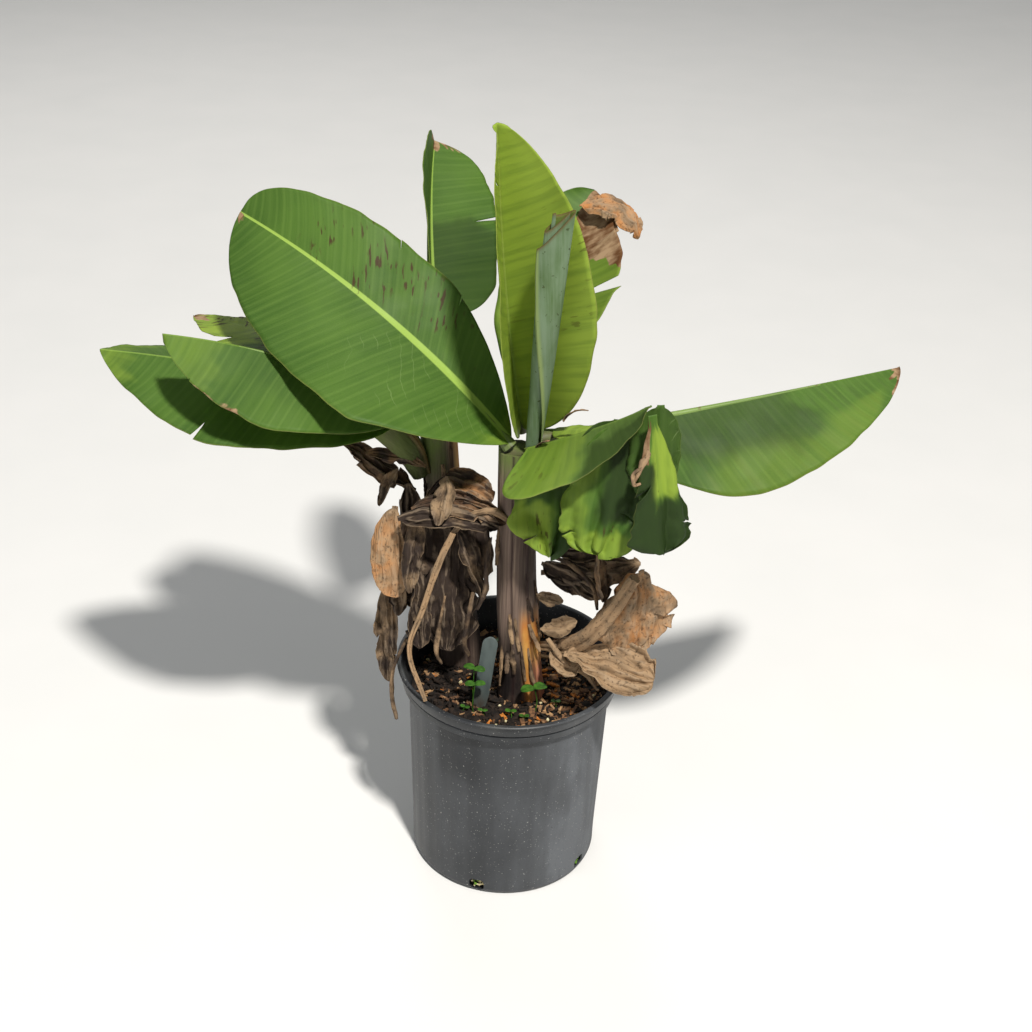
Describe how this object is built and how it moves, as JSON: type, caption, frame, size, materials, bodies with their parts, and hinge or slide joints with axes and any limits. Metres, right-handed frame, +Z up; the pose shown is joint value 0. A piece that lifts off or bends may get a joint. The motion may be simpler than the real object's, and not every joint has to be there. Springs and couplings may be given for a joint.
{
  "type": "potted banana plant",
  "caption": "Young banana plant with two pseudostems, broad green leaves and hanging dead leaves, in a round black nursery pot of bark mix with a blank plant label.",
  "frame": {"origin": "centre of the flat underside of the nursery pot, which stands on the floor", "axes": "+Z up out of the pot; +X to the plant's right and -Y to its front, as the big left leaf points to -X and the rolled new leaf stands on the front side"},
  "size_m": [0.8677, 0.4077, 0.906],
  "materials": {
    "pot_plastic": "dusty satin",
    "bark_mix": "rough, damp",
    "dried_sheath": "dry, fibrous",
    "green_leaf": "satin, veined",
    "new_leaf": "waxy bloom",
    "dead_leaf": "dry, wrinkled",
    "label_plastic": "matte"
  },
  "bodies": {
    "root": {"nursery_pot": "pot_plastic", "potting_mix": "bark_mix", "main_pseudostem": "dried_sheath", "rear_pseudostem": "dried_sheath", "rear_green_sheath": "green_leaf", "rolled_new_leaf": "new_leaf", "big_left_leaf": "green_leaf", "tall_upright_leaf": "green_leaf", "right_rear_leaf": "green_leaf", "rear_upright_leaf": "green_leaf", "left_upper_leaf": "green_leaf", "left_lower_leaf": "green_leaf", "spotted_left_leaf": "green_leaf", "long_right_leaf": "green_leaf", "drooping_leaf_lobe": "green_leaf", "drooping_leaf_segment_1": "green_leaf", "drooping_leaf_segment_2": "green_leaf", "drooping_leaf_segment_3": "green_leaf", "small_yellow_leaf": "green_leaf", "dead_leaf_tip_rear": "dead_leaf", "dead_leaf_left_tan": "dead_leaf", "dead_leaf_left_dark": "dead_leaf", "dead_leaf_rear_stem": "dead_leaf", "dead_leaf_between_stems": "dead_leaf", "dead_leaf_over_rim": "dead_leaf", "dead_leaf_right_dark": "dead_leaf", "dead_leaf_right_upper": "dead_leaf", "dead_leaf_right_lower": "dead_leaf", "dead_leaf_right_crumpled": "dead_leaf", "dead_leaf_rear_cap": "dead_leaf", "dead_leaf_rear_flap": "dead_leaf", "dead_leaf_left_back": "dead_leaf", "dead_leaf_left_curl": "dead_leaf", "dead_leaf_right_pale": "dead_leaf", "dead_leaf_right_scrap": "dead_leaf", "dried_stalk_left": "dead_leaf", "dried_stalk_right": "dead_leaf", "plant_label": "label_plastic"}
  },
  "joints": []
}
